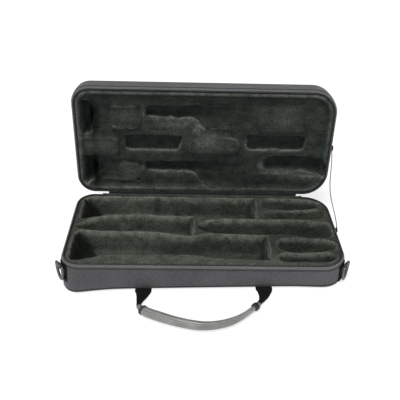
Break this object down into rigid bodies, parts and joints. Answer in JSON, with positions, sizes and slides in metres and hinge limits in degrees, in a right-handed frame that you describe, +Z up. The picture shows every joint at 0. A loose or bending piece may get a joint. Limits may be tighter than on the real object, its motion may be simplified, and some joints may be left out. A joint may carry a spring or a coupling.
{
  "type": "instrument case",
  "caption": "Soft zipped case for a pair of clarinets, standing open: plush-lined base and lid, wrapped carrying handle, side rings for a shoulder strap and a cord that holds the lid.",
  "frame": {"origin": "centre of the base's underside", "axes": "+X along the case to its end with the wider corners, +Y to the hinge, +Z up"},
  "size_m": [0.5152, 0.3836, 0.2781],
  "materials": {
    "cover_cloth": "woven nylon",
    "piping": "matt cloth",
    "zip_tape": "matt cloth",
    "zip_coil": "satin",
    "shell_board": "matt",
    "foam": "matt",
    "plush": "short pile",
    "webbing": "woven",
    "grip_leather": "satin",
    "ring_metal": "polished",
    "stay_cord": "woven"
  },
  "bodies": {
    "base": {"base_bottom_panel": "cover_cloth", "base_side_band": "cover_cloth", "base_seam_piping": "piping", "base_zip_tape": "zip_tape", "base_zip_coil": "zip_coil", "base_shell": "shell_board", "base_foam_insert": "foam", "base_plush_lining": "plush", "divider_back": "plush", "divider_middle": "plush", "divider_front": "plush", "hinge_cloth": "cover_cloth", "stay_cord": "stay_cord", "stay_tab_base": "webbing", "ring_patch_left": "webbing", "ring_loop_left": "ring_metal", "handle_tail_left": "webbing", "ring_patch_right": "webbing", "ring_loop_right": "ring_metal", "handle_tail_right": "webbing"},
    "lid": {"lid_top_panel": "cover_cloth", "lid_side_band": "cover_cloth", "lid_seam_piping": "piping", "lid_zip_tape": "zip_tape", "lid_zip_coil": "zip_coil", "lid_shell": "shell_board", "lid_foam_insert": "foam", "lid_plush_lining": "plush", "stay_tab_lid": "webbing"},
    "handle": {"handle_strap_left": "webbing", "handle_collar_left": "piping", "handle_strap_right": "webbing", "handle_collar_right": "piping", "handle_core": "foam", "handle_grip_wrap": "grip_leather"},
    "d_ring_left": {"d_ring_left": "ring_metal"},
    "d_ring_right": {"d_ring_right": "ring_metal"},
    "zip_slider_left": {"zip_slider_left": "ring_metal"},
    "zip_slider_right": {"zip_slider_right": "ring_metal"},
    "zip_pull_left": {"zip_pull_left": "ring_metal"},
    "zip_pull_right": {"zip_pull_right": "ring_metal"}
  },
  "joints": [
    {"name": "lid_hinge", "type": "hinge", "parent": "base", "child": "lid", "pos_m": [0, 0.11, 0.0525], "axis": [0.9995, 0, -0.0332], "range_deg": [0, 95], "deforming": ["hinge_cloth", "stay_cord"]},
    {"name": "handle_swing", "type": "hinge", "parent": "base", "child": "handle", "pos_m": [0, -0.1124, 0.0017], "axis": [-1, 0, 0], "range_deg": [0, 70]},
    {"name": "d_ring_left_swing", "type": "hinge", "parent": "base", "child": "d_ring_left", "pos_m": [-0.25001, -0.09969, 0.05129], "axis": [-0.5733, 0.8192, 0.019], "range_deg": [0, 150]},
    {"name": "d_ring_right_swing", "type": "hinge", "parent": "base", "child": "d_ring_right", "pos_m": [0.24793, -0.09212, 0.03477], "axis": [-0.5443, -0.8387, 0.0181], "range_deg": [0, 150]},
    {"name": "zip_slider_left_slide", "type": "slide", "parent": "base", "child": "zip_slider_left", "axis": [-0.9995, 0, 0.0332], "range_m": [0, 0.014]},
    {"name": "zip_slider_right_slide", "type": "slide", "parent": "base", "child": "zip_slider_right", "axis": [0.9995, 0, -0.0332], "range_m": [0, 0.01]},
    {"name": "zip_pull_left_swing", "type": "hinge", "parent": "zip_slider_left", "child": "zip_pull_left", "pos_m": [-0.19763, 0.1154, 0.05175], "axis": [0.0332, 0, 0.9995], "range_deg": [0, 170]},
    {"name": "zip_pull_right_swing", "type": "hinge", "parent": "zip_slider_right", "child": "zip_pull_right", "pos_m": [0.19715, 0.1154, 0.03866], "axis": [-0.0332, 0, -0.9995], "range_deg": [0, 170]}
  ]
}
